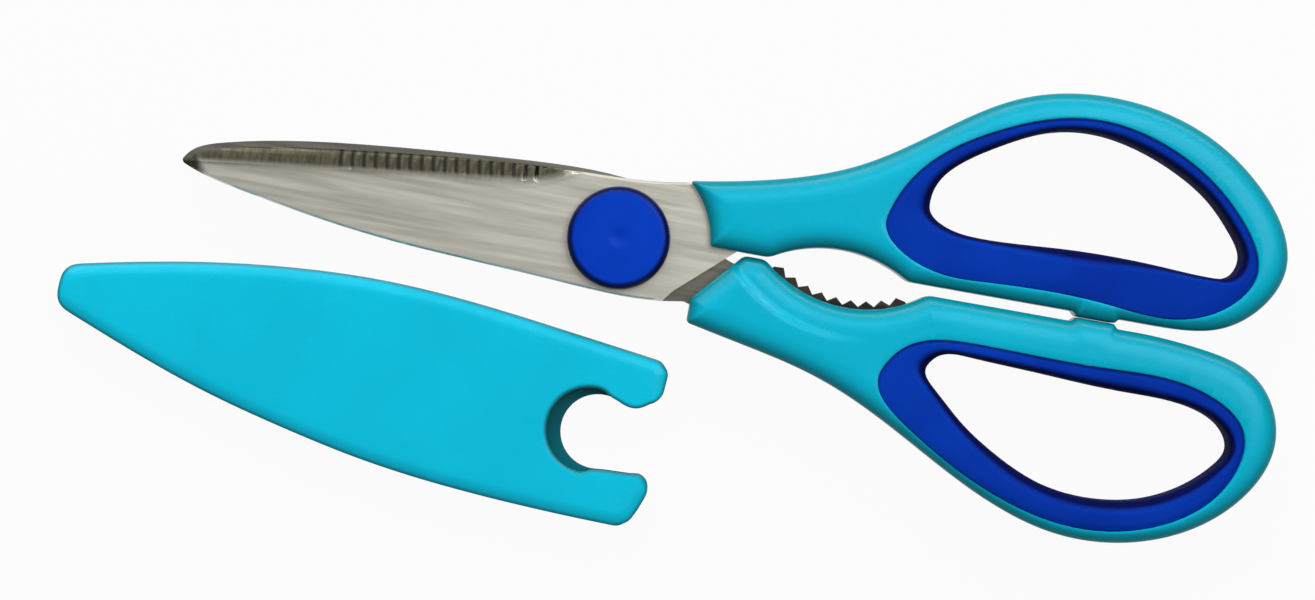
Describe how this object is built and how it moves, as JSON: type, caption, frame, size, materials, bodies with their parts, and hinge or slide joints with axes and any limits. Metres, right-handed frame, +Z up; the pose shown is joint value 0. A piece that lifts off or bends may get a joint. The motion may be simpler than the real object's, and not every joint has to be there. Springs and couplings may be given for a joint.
{
  "type": "kitchen shears with sheath",
  "caption": "Kitchen shears with soft-lined finger loops, a toothed gripper between the arms, a round pivot cap and a push-on blade sheath laid beside them.",
  "frame": {"origin": "on the pivot axis, at the underside of the rear bolt head, which is the height of the table that the closed shears lie on", "axes": "+X along the shears from the pivot towards the handles, so the blade tips point along -X; +Z up, out of the front face with the cap; +Y towards the loop of the front blade"},
  "size_m": [0.2335, 0.097, 0.0112],
  "materials": {
    "steel": "fine brushed stainless steel",
    "teal_plastic": "glossy moulded plastic",
    "blue_soft": "satin soft plastic",
    "blue_plastic": "glossy moulded plastic"
  },
  "bodies": {
    "rear_half": {"rear_blade": "steel", "lower_handle_shell": "teal_plastic", "lower_handle_grip": "blue_soft", "gripper_plate": "steel", "pivot_bolt": "steel", "pivot_washer": "steel", "pivot_nut": "steel", "pivot_cap": "blue_plastic"},
    "front_half": {"front_blade": "steel", "upper_handle_shell": "teal_plastic", "upper_handle_grip": "blue_soft"},
    "sheath": {"sheath": "teal_plastic"}
  },
  "joints": [
    {"name": "pivot_hinge", "type": "hinge", "parent": "rear_half", "child": "front_half", "pos_m": [0, 0, 0], "axis": [0, 0, 1], "range_deg": [0, 60]},
    {"name": "sheath_slide", "type": "slide", "parent": "rear_half", "child": "sheath", "axis": [-0.9965, 0.0837, 0], "range_m": [0, 0.105]}
  ]
}
